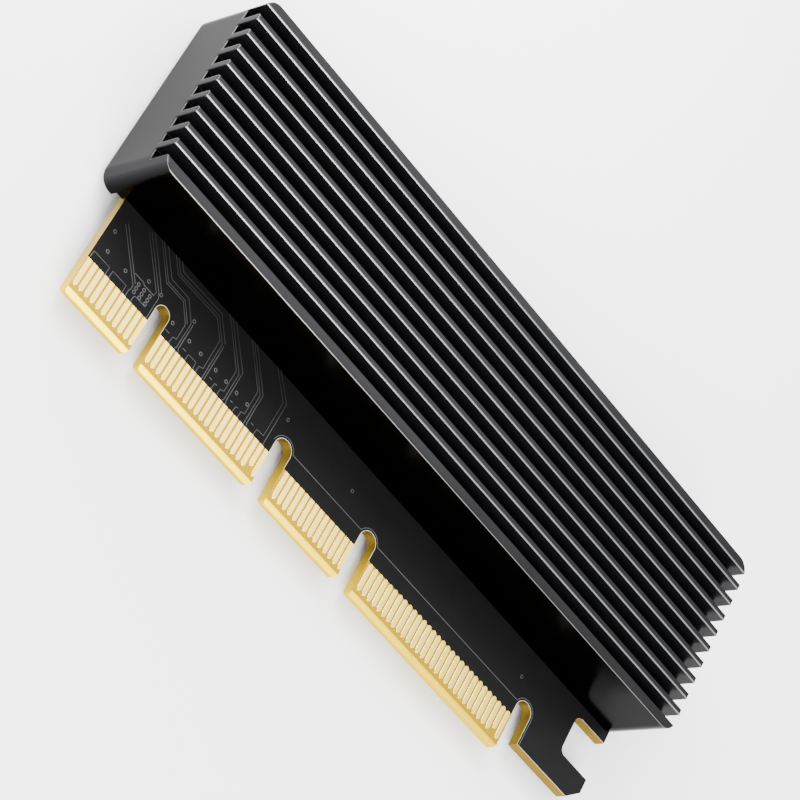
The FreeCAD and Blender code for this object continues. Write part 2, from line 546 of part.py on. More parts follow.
housing = new_body("m2_socket_housing")
shell = rectangle(housing, "HousingOutline", "XY_Plane",
                  ("-Sizes.socket_start", f"{BAY_MIDDLE} - Sizes.socket_width / 2", TOP_FACE),
                  "Sizes.socket_length", "Sizes.socket_width")
pad(housing, shell, "Sizes.socket_height")

# The card slot is in two parts, either side of the rib that fits the drive's key. Behind its
# ceiling the upper contacts pass out of the housing's back.
SLOT_LEVEL = f"{TOP_FACE} + Sizes.slot_floor"
SLOT_HEIGHT = "Sizes.card_thickness + 2 * Sizes.spring_thickness"
PLACE_OF_KEY = "(Sizes.key_first_place + Sizes.key_last_place) / 2"
RIB_Y = f"({BAY_MIDDLE} + ((Sizes.spring_places + 1) / 2 - {PLACE_OF_KEY}) * Sizes.spring_spacing / 2)"
SLOT_NEAR = f"({BAY_MIDDLE} - {SLOT_WIDTH} / 2)"
NEAR_PART = f"({RIB_Y} - Sizes.key_rib / 2 - {SLOT_NEAR})"
for name, start, width in (("NearSlot", SLOT_NEAR, NEAR_PART),
                           ("FarSlot", f"{RIB_Y} + Sizes.key_rib / 2",
                            f"{SLOT_WIDTH} - {NEAR_PART} - Sizes.key_rib")):
    mouth_sketch = rectangle(housing, name, "YZ_Plane", (start, SLOT_LEVEL, SOCKET_FRONT), width, SLOT_HEIGHT)
    slot_cut = pocket(housing, mouth_sketch, "Sizes.slot_depth")
    passage = rectangle(housing, name + "Passage", "YZ_Plane",
                        (start, f"{SLOT_LEVEL} + {SLOT_HEIGHT} - Sizes.spring_thickness",
                         "-Sizes.socket_start"), width, "Sizes.spring_thickness")
    through = f"Sizes.socket_length - Sizes.slot_depth + {OVERCUT}"
    passage_cut = pocket(housing, passage, through, upwards=True)
roof = edges_of(passage_cut, lambda edge: runs_along(edge, "y") and near(edge.BoundBox.XMin, socket_front)
                and near(edge.BoundBox.ZMin, top_face + SIZE["socket_height"]))
dress(housing, "Chamfer", passage_cut, roof, "Sizes.lead_in")
for side, name in ((1, "FarPost"), (-1, "NearPost")):
    post = circle(housing, name, "XY_Plane",
                  (POST_X, f"{BAY_MIDDLE} + {side} * {POST_SPREAD}", TOP_FACE), "Sizes.post_diameter")
    pad(housing, post, "Sizes.post_length", downwards=True)


def bent_strip(outline, y):
    """A contact strip from its bent side view, given as X and the height above the board."""
    half = SIZE["spring_width"] / 2
    points = [Vector(x, y - half, top_face + height) for x, height in outline]
    face = Part.Face(Part.makePolygon(points + points[:1]))
    return face.extrude(Vector(0, SIZE["spring_width"], 0))


def socket_contacts(label, outline, first_place):
    """One row of the socket's contacts, every second place, without those at the key."""
    strips = []
    for place in range(first_place, int(SIZE["spring_places"]) + 1, 2):
        if SIZE["key_first_place"] <= place <= SIZE["key_last_place"]:
            continue
        middle = (SIZE["spring_places"] + 1) / 2
        strips.append(bent_strip(outline, bay_middle + (middle - place) * SIZE["spring_spacing"] / 2))
    return group(label, strips)


strip = SIZE["spring_thickness"]
foot = SIZE["spring_foot"]
card_low = SIZE["slot_floor"] + strip
card_high = card_low + SIZE["card_thickness"]
tip_x = socket_front - SIZE["spring_setback"]
upper_outline = [(tip_x, card_high), (tip_x, card_high + strip), (socket_back - strip, card_high + strip),
                 (socket_back - strip, strip), (socket_back - strip - foot, strip),
                 (socket_back - strip - foot, 0), (socket_back, 0), (socket_back, card_high)]
lower_outline = [(card_end, SIZE["slot_floor"]), (card_end, card_low), (socket_front + strip, card_low),
                 (socket_front + strip, strip), (socket_front + strip + foot, strip),
                 (socket_front + strip + foot, 0), (socket_front, 0), (socket_front, SIZE["slot_floor"])]
m2_upper_contacts = socket_contacts("m2_upper_contacts", upper_outline, 1)
m2_lower_contacts = socket_contacts("m2_lower_contacts", lower_outline, 2)


def solder_tab(side):
    """An angle of sheet metal at one end of the housing, soldered to the board."""
    wall = bay_middle + side * SIZE["socket_width"] / 2
    thick = SIZE["tab_thickness"]
    start = (socket_back + socket_front - SIZE["tab_length"]) / 2
    outline = [(0, 0), (thick + SIZE["tab_foot"], 0), (thick + SIZE["tab_foot"], thick), (thick, thick),
               (thick, SIZE["tab_height"]), (0, SIZE["tab_height"])]
    points = [Vector(start, wall + side * out, top_face + up) for out, up in outline]
    return Part.Face(Part.makePolygon(points + points[:1])).extrude(Vector(SIZE["tab_length"], 0, 0))


group("m2_solder_tabs", [solder_tab(-1), solder_tab(1)])

# ---------------------------------------------------------------------------- standoff and screws

standoff_x = card_end + SIZE["drive_length"]
standoff = new_body("ssd_standoff")
shoulder = circle(standoff, "Shoulder", "XY_Plane", (STANDOFF_X, BAY_MIDDLE, TOP_FACE),
                  "Sizes.standoff_diameter")
pad(standoff, shoulder, "Sizes.standoff_height")
spigot = circle(standoff, "Spigot", "XY_Plane", (STANDOFF_X, BAY_MIDDLE, TOP_FACE),
                "Sizes.standoff_hole - 2 * Sizes.spigot_clearance")
pad(standoff, spigot, "Sizes.spigot_length", downwards=True)
bore = circle(standoff, "Thread", "XY_Plane", (STANDOFF_X, BAY_MIDDLE, "0"), "Sizes.thread_hole")
pocket(standoff, bore)


def recessed_screw(length, head_height):
    """A cross-recessed screw with its head's flat underside at the origin, pointing along +Z."""
    head = SIZE["screw_head"] / 2
    shank = SIZE["thread_hole"] / 2 - SIZE["thread_clearance"]
    slope = head_height / 2
    profile = [Vector(0, 0, -head_height), Vector(0, 0, length), Vector(shank, 0, length),
               Vector(shank, 0, 0), Vector(head, 0, 0), Vector(head, 0, slope - head_height),
               Vector(head - slope, 0, -head_height)]
    solid = Part.Face(Part.makePolygon(profile + profile[:1])).revolve(Vector(0, 0, 0), Vector(0, 0, 1), 360)
    depth = min(SIZE["recess_depth"], 0.6 * head_height)
    reach, arm = SIZE["recess_length"] / 2, SIZE["recess_width"] / 2
    low = -head_height - OVERCUT
    long_arm = Part.makeBox(2 * reach, 2 * arm, depth + OVERCUT, Vector(-reach, -arm, low))
    cross_arm = Part.makeBox(2 * arm, 2 * reach, depth + OVERCUT, Vector(-arm, -reach, low))
    return solid.cut(long_arm.fuse(cross_arm))


heatsink_screw = recessed_screw(SIZE["screw_length"], SIZE["screw_head_height"])
group("heatsink_screws", [heatsink_screw.translated(Vector(x, y, -top_face)) for x, y in screw_places])

small_screw = recessed_screw(SIZE["small_screw_length"], SIZE["flat_head_height"])
below = small_screw.translated(Vector(standoff_x, bay_middle, -top_face))
group("standoff_screw", [below])
upside_down = small_screw.rotated(Vector(0, 0, 0), Vector(1, 0, 0), 180)
above = upside_down.translated(Vector(standoff_x, bay_middle, top_face + SIZE["standoff_height"]))
group("ssd_screw", [above])

# ---------------------------------------------------------------------------- small parts


def chip(x, y, length, width, height):
    """A small surface-mounted part lying along X, with broken edges."""
    block = Part.makeBox(length, width, height, Vector(x - length / 2, y - width / 2, top_face))
    return block.makeChamfer(SIZE["chip_edge"], block.Edges)


row_x = bay_start - SIZE["rear_bay_length"] / 2
bulk_offset = 1.5 * SIZE["chip_spacing"] + SIZE["chip_spacing"] / 2 + SIZE["bulk_width"] / 2
group("bulk_capacitors", [
    chip(row_x, bay_middle + side * bulk_offset, SIZE["bulk_length"], SIZE["bulk_width"], SIZE["bulk_height"])
    for side in (-1, 1)
])
group("ceramic_capacitors", [
    chip(row_x, bay_middle + side * SIZE["chip_spacing"] / 2, SIZE["chip_length"], SIZE["chip_width"],
         SIZE["capacitor_height"])
    for side in (-1, 1)
])
group("pull_up_resistors", [
    chip(row_x, bay_middle + side * 1.5 * SIZE["chip_spacing"], SIZE["chip_length"], SIZE["chip_width"],
         SIZE["resistor_height"])
    for side in (-1, 1)
])

# ---------------------------------------------------------------------------- export

doc.recompute()
for item in doc.Objects:
    if any(word in item.State for word in ("Invalid", "Error")):
        raise RuntimeError(f"{item.Label} did not recompute: {item.State}")

os.makedirs("parts", exist_ok=True)
nodes = [item for item in doc.Objects
         if item.TypeId in ("PartDesign::Body", "Part::Feature")]
for node in nodes:
    shape = node.Shape
    if shape.isNull() or not shape.isValid() or not shape.Solids:
        raise RuntimeError(f"{node.Label} has no valid solid")
    box = shape.BoundBox
    print(f"{node.Label:26s} {len(shape.Solids):3d} solids {shape.Volume:10.2f} mm3  "
          f"X {box.XMin:7.2f} {box.XMax:7.2f}  Y {box.YMin:6.2f} {box.YMax:6.2f}  "
          f"Z {box.ZMin:6.2f} {box.ZMax:6.2f}")
    shape.exportStep(f"parts/{node.Label}.step")
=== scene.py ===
# %% [markdown]
# # NVMe adapter card
# The card holds a small solid-state drive under a finned heatsink and plugs into a long expansion
# slot. Its solids are already made and come in as a fixed frame, which this script doesn't change. It
# dresses them: with rounded gold contacts, the copper runs and vias that show through the solder mask,
# the bare rims of laminate, and a procedural material on every solid.
#
# All places are in the row's frame: X along the connector, Y away from the slot, Z out of the
# component side. Sizes are written in millimetres, and MM turns them to Blender's metres.

# %% The frame
import math

import bmesh
import bpy
from mathutils import Matrix, Vector


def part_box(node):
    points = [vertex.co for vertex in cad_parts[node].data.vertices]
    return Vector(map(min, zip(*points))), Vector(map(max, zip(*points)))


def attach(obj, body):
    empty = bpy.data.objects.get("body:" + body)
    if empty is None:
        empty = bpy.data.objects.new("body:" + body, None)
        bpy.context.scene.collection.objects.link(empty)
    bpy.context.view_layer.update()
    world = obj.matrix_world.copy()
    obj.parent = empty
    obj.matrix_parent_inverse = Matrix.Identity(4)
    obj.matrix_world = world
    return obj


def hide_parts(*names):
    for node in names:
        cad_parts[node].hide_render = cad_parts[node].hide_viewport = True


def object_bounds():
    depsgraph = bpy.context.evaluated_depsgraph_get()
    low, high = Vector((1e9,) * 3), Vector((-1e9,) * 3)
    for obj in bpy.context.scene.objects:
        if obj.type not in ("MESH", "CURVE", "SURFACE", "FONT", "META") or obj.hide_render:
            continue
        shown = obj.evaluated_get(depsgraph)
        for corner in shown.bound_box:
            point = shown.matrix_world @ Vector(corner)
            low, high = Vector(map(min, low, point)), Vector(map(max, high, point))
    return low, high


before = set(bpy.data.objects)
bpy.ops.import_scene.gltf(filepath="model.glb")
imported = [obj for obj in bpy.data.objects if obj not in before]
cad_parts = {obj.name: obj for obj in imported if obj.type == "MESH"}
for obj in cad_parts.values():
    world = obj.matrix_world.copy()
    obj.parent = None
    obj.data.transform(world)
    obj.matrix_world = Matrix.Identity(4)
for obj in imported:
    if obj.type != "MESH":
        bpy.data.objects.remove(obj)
cad_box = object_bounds()
MM = 0.001

board_low, board_high = (Vector(corner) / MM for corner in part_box("circuit_board"))
sink_low, sink_high = (Vector(corner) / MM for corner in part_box("heatsink"))
TOP = board_high.z
print("board", tuple(board_low), tuple(board_high))
print("heatsink", tuple(sink_low), tuple(sink_high))


# %% [markdown]
# ## Tools for materials
# Blender makes a material from a tree of nodes. One function adds a node with its settings and its
# inputs, so that each material below reads as a list of steps. Colours are written as sRGB hex codes,
# as in any paint program, and one function turns them into the linear values that light adds up in.
# Textures are placed by Object coordinates, in metres, so every pattern has its real size: two more
# functions turn a size in millimetres into the scale that a noise or a wave asks for.

# %% Colours and nodes
def colour(hex_code):
    """Linear colour from an sRGB hex code."""
    channels = [int(hex_code[place:place + 2], 16) / 255 for place in (1, 3, 5)]
    return [c / 12.92 if c <= 0.04045 else ((c + 0.055) / 1.055) ** 2.4 for c in channels] + [1.0]


def add(tree, kind, settings=(), **inputs):
    """Adds a node. Inputs are values or sockets to link, keyed by socket name or, as i0, i1, by place."""
    node = tree.nodes.new("ShaderNode" + kind)
    for name, value in dict(settings).items():
        setattr(node, name, value)
    for name, value in inputs.items():
        key = int(name[1:]) if name[0] == "i" and name[1:].isdigit() else name.replace("_", " ")
        if isinstance(value, bpy.types.NodeSocket):
            tree.links.new(value, node.inputs[key])
        else:
            node.inputs[key].default_value = value
    return node


def new_material(name):
    """A material with only its Principled shader and output, ready for nodes."""
    material = bpy.data.materials.new(name)
    material.use_nodes = True
    tree = material.node_tree
    shader = next(node for node in tree.nodes if node.type == "BSDF_PRINCIPLED")
    return material, tree, shader


def link(tree, socket, shader, name):
    """Links a socket to the shader's input of that name."""
    tree.links.new(socket, shader.inputs[name])


print("black", colour("#000000"), "white", colour("#ffffff"))

# %% Settings and scales
# A Mix of colours takes its two ends as i6 and i7 and gives output 2. A MapRange reads the range from
# i1 to i2 and gives the range from i3 to i4.
COLOURS = {"data_type": "RGBA"}
NUMBERS = {"data_type": "FLOAT"}
TIMES = {"operation": "MULTIPLY"}
PLUS = {"operation": "ADD"}
HIGHER = {"operation": "MAXIMUM"}
ABOVE = {"operation": "GREATER_THAN"}
BELOW = {"operation": "LESS_THAN"}
WITHOUT_SIGN = {"operation": "ABSOLUTE"}
RELIEF = 0.02 * MM  # depth of a bump at full strength
WAVE_SCALE = 20.0  # a wave texture turns through this many radians per unit


def cells(size):
    """Scale of a noise whose cells are a given size across."""
    return 1.0 / (size * MM)


def bands(spacing):
    """Scale of a wave whose bands lie a given distance apart."""
    return 2.0 * math.pi / (WAVE_SCALE * spacing * MM)


print("scale for cells of 1 mm", cells(1.0), "for bands 1 mm apart", bands(1.0))


# %% [markdown]
# ## Black anodised aluminium
# The heatsink is an aluminium extrusion with its tops and ends milled, blasted with fine beads, then
# anodised and given a black dye. To the eye it is a dark satin metal. Its walls are painted darker than
# its tops, a painted shade, and inside the channels a little less dark, which lifts the shade there.
# Where the cutter rolled a near edge over, a pale line is painted: thin oxide and a painted highlight.
# The fins' edges could be bevelled as geometry, but the solids stay as they are, so a Bevel node bends
# the shading there instead.

# %% The fins' edges
OUTER_FIN = 0.7  # depth of the outer fin from the near wall, past which all is inside
EDGE_DEPTH = 0.13  # the pale edges reach this far below the fins' tops
EDGE_FADE = (0.03, 0.11)  # depths between which the outer fin's pale line comes in
ROLLED_EDGE = 0.25  # radius of the inner fins' near edges
BEVEL_SAMPLES = 8


def fin_edges(tree, at, facing, inside):
    """The pale colour of the fins' edges, a painted highlight, from 0 to 1, and the normal of the rolled
    edges.
    """
    # The outer fin's broken edge is a sloping face of the solid.
    steep = add(tree, "MapRange", Value=facing["Z"], i1=0.35, i2=0.55).outputs["Result"]
    flat = add(tree, "MapRange", Value=facing["Z"], i1=0.97, i2=0.85).outputs["Result"]
    sloped = add(tree, "Math", TIMES, i0=steep, i1=flat).outputs[0]
    fade_start, fade_end = ((sink_high.z - depth) * MM for depth in EDGE_FADE)
    high = add(tree, "MapRange", Value=at["Z"], i1=fade_start, i2=fade_end).outputs["Result"]
    edge = add(tree, "Math", TIMES, i0=sloped, i1=high).outputs[0]
    # The inner fins' near edges were rolled over by the cutter, and there the rounded normal leans.
    rolled = add(tree, "Bevel", {"samples": BEVEL_SAMPLES}, Radius=ROLLED_EDGE * MM).outputs["Normal"]
    # Only normals leaning towards -Y take the pale colour, so it is a painted highlight on the near edges.
    lean = add(tree, "SeparateXYZ", Vector=rolled).outputs["Y"]
    leaning = add(tree, "MapRange", Value=lean, i1=-0.08, i2=-0.5).outputs["Result"]
    highlit_edges = add(tree, "Mix", NUMBERS, Factor=inside, i2=edge, i3=leaning).outputs[0]
    on_top = add(tree, "Math", ABOVE, i0=at["Z"], i1=(sink_high.z - EDGE_DEPTH) * MM).outputs[0]
    painted_edge_highlight = add(tree, "Math", TIMES, i0=highlit_edges, i1=on_top).outputs[0]
    return painted_edge_highlight, rolled


print("pale edges from", sink_high.z - EDGE_DEPTH, "to", sink_high.z)

# %% Dye, oxide and grain
BLAST_GRAIN = 1 / 9  # width of a bead's dent, a little coarse so that it shows
LINE_WIDTH, LINE_LENGTH = 1 / 2.6, 1000 / 12  # of the extrusion's lines along the fins
DYE_PATCH = 6.25  # width of a patch where the dye took a little more


def anodised():
    """Dyed oxide over blasted aluminium."""
    material, tree, shader = new_material("black_anodised_aluminium")
    place = add(tree, "TexCoord").outputs
    at = add(tree, "SeparateXYZ", Vector=place["Object"]).outputs
    facing = add(tree, "SeparateXYZ", Vector=place["Normal"]).outputs
    sideways = add(tree, "Math", WITHOUT_SIGN, i0=facing["Y"]).outputs[0]
    wall = add(tree, "MapRange", Value=sideways, i1=0.55, i2=0.98).outputs["Result"]
    inside = add(tree, "Math", ABOVE, i0=at["Y"], i1=(sink_low.y + OUTER_FIN) * MM).outputs[0]
    # Colour: dye on the tops and ends, walls painted darker as a painted shade, and pale near edges as a
    # painted highlight.
    patches = add(tree, "TexNoise", Vector=place["Object"], Scale=cells(DYE_PATCH), Detail=2.0).outputs["Fac"]
    dye = add(tree, "Mix", COLOURS, Factor=patches, i6=colour("#272728"), i7=colour("#2d2d2e")).outputs[2]
    # The walls are painted darker than the tops, a painted shade, and the channel walls less dark, to lift
    # their shade.
    painted_wall_shade = add(tree, "Mix", COLOURS, Factor=inside, i6=colour("#0a0a0b"), i7=colour("#18181a")).outputs[2]
    dye_and_wall_shade = add(tree, "Mix", COLOURS, Factor=wall, i6=dye, i7=painted_wall_shade).outputs[2]
    painted_edge_highlight, rolled = fin_edges(tree, at, facing, inside)
    # Pale edges: where the oxide is thin, and a painted highlight on the near side.
    skin = add(tree, "Mix", COLOURS, Factor=painted_edge_highlight, i6=dye_and_wall_shade, i7=colour("#7e7e80")).outputs[2]
    link(tree, skin, shader, "Base Color")
    rough = add(tree, "MapRange", Value=patches, i1=0.3, i2=0.7, i3=0.17, i4=0.23).outputs["Result"]
    link(tree, rough, shader, "Roughness")
    # The channel walls are less metallic, so their lighter painted colour scatters some light and lifts their
    # shade.
    pocket = add(tree, "Math", TIMES, i0=wall, i1=inside).outputs[0]
    metal = add(tree, "MapRange", Value=pocket, i1=0.0, i2=1.0, i3=1.0, i4=0.55).outputs["Result"]
    link(tree, metal, shader, "Metallic")
    # At a slant the smooth outer walls gain the most shine, the tops less, and the channels least.
    smooth = add(tree, "Mix", COLOURS, Factor=inside, i6=colour("#dcdcdc"), i7=colour("#a0a0a0")).outputs[2]
    slant = add(tree, "Mix", COLOURS, Factor=wall, i6=colour("#c6c6c6"), i7=smooth).outputs[2]
    link(tree, slant, shader, "Specular Tint")
    # Relief: the blasting over the extrusion's lines.
    grain = add(tree, "TexNoise", Vector=place["Object"], Scale=cells(BLAST_GRAIN), Detail=2.0)
    across = cells(LINE_WIDTH)
    stretched = add(tree, "Mapping", Vector=place["Object"], Scale=(cells(LINE_LENGTH), across, across))
    lines = add(tree, "TexNoise", Vector=stretched.outputs["Vector"], Scale=1.0, Detail=3.0).outputs["Fac"]
    relief = add(tree, "Math", PLUS, i0=grain.outputs["Fac"], i1=lines).outputs[0]
    bump = add(tree, "Bump", Height=relief, Normal=rolled, Strength=0.06, Distance=RELIEF)
    link(tree, bump.outputs["Normal"], shader, "Normal")
    return material


black_aluminium = anodised()
print(black_aluminium.name, len(black_aluminium.node_tree.nodes), "nodes")


# %% [markdown]
# ## Solder mask over glass epoxy
# The board is glass cloth in amber epoxy with copper inside. Black solder mask covers its faces, all
# but the connector's tongues, and the cut edges are bare. The tongues' bevels are ground smooth and
# painted bright amber, their own colour with painted light. Higher up, where the router left the edges
# rough, they are painted darker brown, a painted shade, and the bracket end is painted paler, a painted
# light. The solid is one piece, so one material covers it and decides by place and by which way a face
# looks.

# %% Places on the board
MASK_LINE = 5.27  # edge of the mask on the tongues, from their tips
NOTCH_AXES = (23.295, 40.295, 73.525)  # X of the three wide notches
NOTCH_RADIUS, NOTCH_TOP = 1.425, 8.35
LIT_END_X = -11.9  # X up to which an edge belongs to the bracket end
EDGE_SHADE_START, EDGE_SHADE_END = 0.5, 7.0  # Y between which the bright ground edge turns into the darker routed one, a painted shade
last_notch = NOTCH_AXES[-1] - NOTCH_RADIUS  # past its first wall the mask runs down to the board's edge
print("mask line at Y", MASK_LINE, "up to X", last_notch)

# %% Bare laminate
THREAD = 0.4488  # between the glass cloth's threads
PLY = 0.34907  # between the layers of cloth in a cut edge, coarser than the real ones so that they show


def laminate(tree, place, at, on_face, past_contacts):
    """The board's colour where no mask covers it."""
    # Faces: amber epoxy over the cloth's weave.
    warp = add(tree, "TexWave", {"wave_type": "BANDS", "bands_direction": "X"},
               Vector=place, Scale=bands(THREAD), Distortion=1.5).outputs["Fac"]
    weft = add(tree, "TexWave", {"wave_type": "BANDS", "bands_direction": "Y"},
               Vector=place, Scale=bands(THREAD), Distortion=1.5).outputs["Fac"]
    cloth = add(tree, "Math", TIMES, i0=warp, i1=weft).outputs[0]
    epoxy = add(tree, "Mix", COLOURS, Factor=cloth, i6=colour("#a68400"), i7=colour("#bc9800")).outputs[2]
    # Edges: the layers of cloth, in lit and shaded copies: bright on the tips' bevels and the bracket end,
    # painted light, and darker up the notch walls, painted shade.
    plies = add(tree, "TexWave", {"wave_type": "BANDS", "bands_direction": "Z"},
                Vector=place, Scale=bands(PLY), Distortion=3.0, Detail_Scale=400.0).outputs["Fac"]
    lit_ground_edge = add(tree, "Mix", COLOURS, Factor=plies, i6=colour("#ccac00"), i7=colour("#dcbc00")).outputs[2]
    shaded_routed_edge = add(tree, "Mix", COLOURS, Factor=plies, i6=colour("#685418"), i7=colour("#786222")).outputs[2]
    lit_sawn_end = add(tree, "Mix", COLOURS, Factor=plies, i6=colour("#98844c"), i7=colour("#ac9658")).outputs[2]
    at_end = add(tree, "Math", BELOW, i0=at["X"], i1=LIT_END_X * MM).outputs[0]
    cut_light_and_shade = add(tree, "Mix", COLOURS, Factor=at_end, i6=shaded_routed_edge, i7=lit_sawn_end).outputs[2]
    shade_upwards = add(tree, "MapRange", Value=at["Y"], i1=EDGE_SHADE_START * MM, i2=EDGE_SHADE_END * MM).outputs["Result"]
    edge_shade = add(tree, "Math", HIGHER, i0=shade_upwards, i1=past_contacts).outputs[0]
    cut = add(tree, "Mix", COLOURS, Factor=edge_shade, i6=lit_ground_edge, i7=cut_light_and_shade).outputs[2]
    return add(tree, "Mix", COLOURS, Factor=on_face, i6=cut, i7=epoxy).outputs[2]


print("scales of the weave and the layers", bands(THREAD), bands(PLY))

# %% The board's material
MASK_CLOUD = 1 / 0.45  # width of the mask's faint unevenness
LAMINATE_GRAIN = 0.2  # width of the fine relief on mask and laminate


def board_material():
    """Black mask on the faces, and bare laminate on the tongues and every cut edge."""
    material, tree, shader = new_material("black_solder_mask_on_glass_epoxy")
    place = add(tree, "TexCoord").outputs
    at = add(tree, "SeparateXYZ", Vector=place["Object"]).outputs
    facing = add(tree, "SeparateXYZ", Vector=place["Normal"]).outputs["Z"]
    flat = add(tree, "Math", WITHOUT_SIGN, i0=facing).outputs[0]
    on_face = add(tree, "Math", ABOVE, i0=flat, i1=0.9).outputs[0]
    above = add(tree, "Math", ABOVE, i0=at["Y"], i1=MASK_LINE * MM).outputs[0]
    past_contacts = add(tree, "Math", ABOVE, i0=at["X"], i1=last_notch * MM).outputs[0]
    covered = add(tree, "Math", HIGHER, i0=above, i1=past_contacts).outputs[0]
    masked = add(tree, "Math", TIMES, i0=on_face, i1=covered).outputs[0]
    # Colour.
    cloud = add(tree, "TexNoise", Vector=place["Object"], Scale=cells(MASK_CLOUD), Detail=3.0).outputs["Fac"]
    mask = add(tree, "Mix", COLOURS, Factor=cloud, i6=colour("#0b0b0b"), i7=colour("#101011")).outputs[2]
    bare = laminate(tree, place["Object"], at, on_face, past_contacts)
    skin = add(tree, "Mix", COLOURS, Factor=masked, i6=bare, i7=mask).outputs[2]
    link(tree, skin, shader, "Base Color")
    # The mask is matt, and the epoxy a little smoother with more shine.
    rough = add(tree, "MapRange", Value=masked, i3=0.32, i4=0.5).outputs["Result"]
    link(tree, rough, shader, "Roughness")
    shine = add(tree, "MapRange", Value=masked, i3=0.2, i4=0.06).outputs["Result"]
    link(tree, shine, shader, "Specular IOR Level")
    # Light comes back amber from inside the clear epoxy, which a mostly metallic base stands for.
    depth = add(tree, "MapRange", Value=masked, i3=0.9, i4=0.0).outputs["Result"]
    link(tree, depth, shader, "Metallic")
    # At a slant it stays amber too.
    slant = add(tree, "Mix", COLOURS, Factor=masked, i6=colour("#ffecc8"), i7=colour("#ffffff")).outputs[2]
    link(tree, slant, shader, "Specular Tint")
    fine = add(tree, "TexNoise", Vector=place["Object"], Scale=cells(LAMINATE_GRAIN), Detail=2.0)
    bump = add(tree, "Bump", Height=fine.outputs["Fac"], Strength=0.08, Distance=RELIEF)
    link(tree, bump.outputs["Normal"], shader, "Normal")
    return material


mask_and_laminate = board_material()
print(mask_and_laminate.name, len(mask_and_laminate.node_tree.nodes), "nodes")


# %% [markdown]
# ## Plated, moulded and fired parts
# The contacts are plated with gold over nickel, the screws and the standoff with nickel, and the
# socket's tabs are tinned. The socket is moulded nylon, the bulk capacitors moulded epoxy, the small
# capacitors fired ceramic, the resistors glazed, and the thermal pad is cast silicone. Each has one
# colour, and how it was made leaves it faintly uneven. Only the values differ, so one function makes
# them all: a noise moves the colour, the roughness and the relief together, as one uneven skin would.

# %% Plain finishes
def plain_finish(name, light, dark, metallic, rough, grain, relief):
    """A finish whose colour, roughness and relief vary together over a grain of a given width."""
    material, tree, shader = new_material(name)
    place = add(tree, "TexCoord").outputs["Object"]
    cloud = add(tree, "TexNoise", Vector=place, Scale=cells(grain), Detail=3.0).outputs["Fac"]
    skin = add(tree, "Mix", COLOURS, Factor=cloud, i6=colour(dark), i7=colour(light)).outputs[2]
    link(tree, skin, shader, "Base Color")
    spread = add(tree, "MapRange", Value=cloud, i1=0.3, i2=0.7, i3=rough[0], i4=rough[1]).outputs["Result"]
    link(tree, spread, shader, "Roughness")
    shader.inputs["Metallic"].default_value = metallic
    bump = add(tree, "Bump", Height=cloud, Strength=relief, Distance=RELIEF).outputs["Normal"]
    link(tree, bump, shader, "Normal")
    return material


# Name, light and dark colour, metallic, least and most roughness, width of the grain, its relief.
gold = plain_finish("gold_plated_contact", "#ffe278", "#fbda68", 1.0, (0.16, 0.26), 2 / 3, 0.05)
spring = plain_finish("gold_flashed_spring", "#ecd294", "#d9b76c", 1.0, (0.2, 0.3), 1 / 3, 0.05)
tin = plain_finish("dull_tin", "#b9b9b4", "#9c9c98", 1.0, (0.35, 0.5), 0.4, 0.1)
nickel = plain_finish("nickel_plated_brass", "#cfcabd", "#bdb7a8", 1.0, (0.18, 0.3), 5 / 9, 0.05)
screw_steel = plain_finish("nickel_plated_steel", "#c4c4c2", "#a9a9a8", 1.0, (0.2, 0.34), 5 / 13, 0.08)
moulded = plain_finish("black_moulded_nylon", "#1b1b1c", "#141415", 0.0, (0.4, 0.55), 0.25, 0.15)
silicone = plain_finish("grey_blue_silicone", "#7f93a3", "#71879a", 0.0, (0.6, 0.75), 10 / 9, 0.2)
tantalum = plain_finish("dark_moulded_epoxy", "#3d3a35", "#2e2c28", 0.0, (0.4, 0.55), 0.2, 0.15)
fired = plain_finish("fired_ceramic", "#a78a68", "#8f7455", 0.0, (0.45, 0.6), 0.2, 0.1)
glaze = plain_finish("black_glass_glaze", "#1d1d1f", "#141416", 0.0, (0.2, 0.35), 1 / 3, 0.05)
# The bare rims' pale colour is scraped laminate and a painted highlight on the cut edges' corners.
pale_rim_and_highlight = plain_finish("scraped_epoxy_and_edge_highlight", "#c9c39a", "#a8a27c", 0.0, (0.4, 0.6), 1 / 3, 0.1)
print("materials so far", len(bpy.data.materials))


# %% [markdown]
# ## Copper under the mask
# The runs and the vias' rings are copper under the black mask, which is a little lighter over them and
# smooth enough to catch a glint. Towards the heatsink they are painted darker and lose their shine, a
# painted shade along Y where the heatsink shades the board.

# %% Masked copper
HEATSINK_SHADE_START, HEATSINK_SHADE_END, HEATSINK_SHADE_DEPTH = 8.5, 13.0, 0.8  # Y between which the painted shade towards the heatsink comes in, and how dark it gets


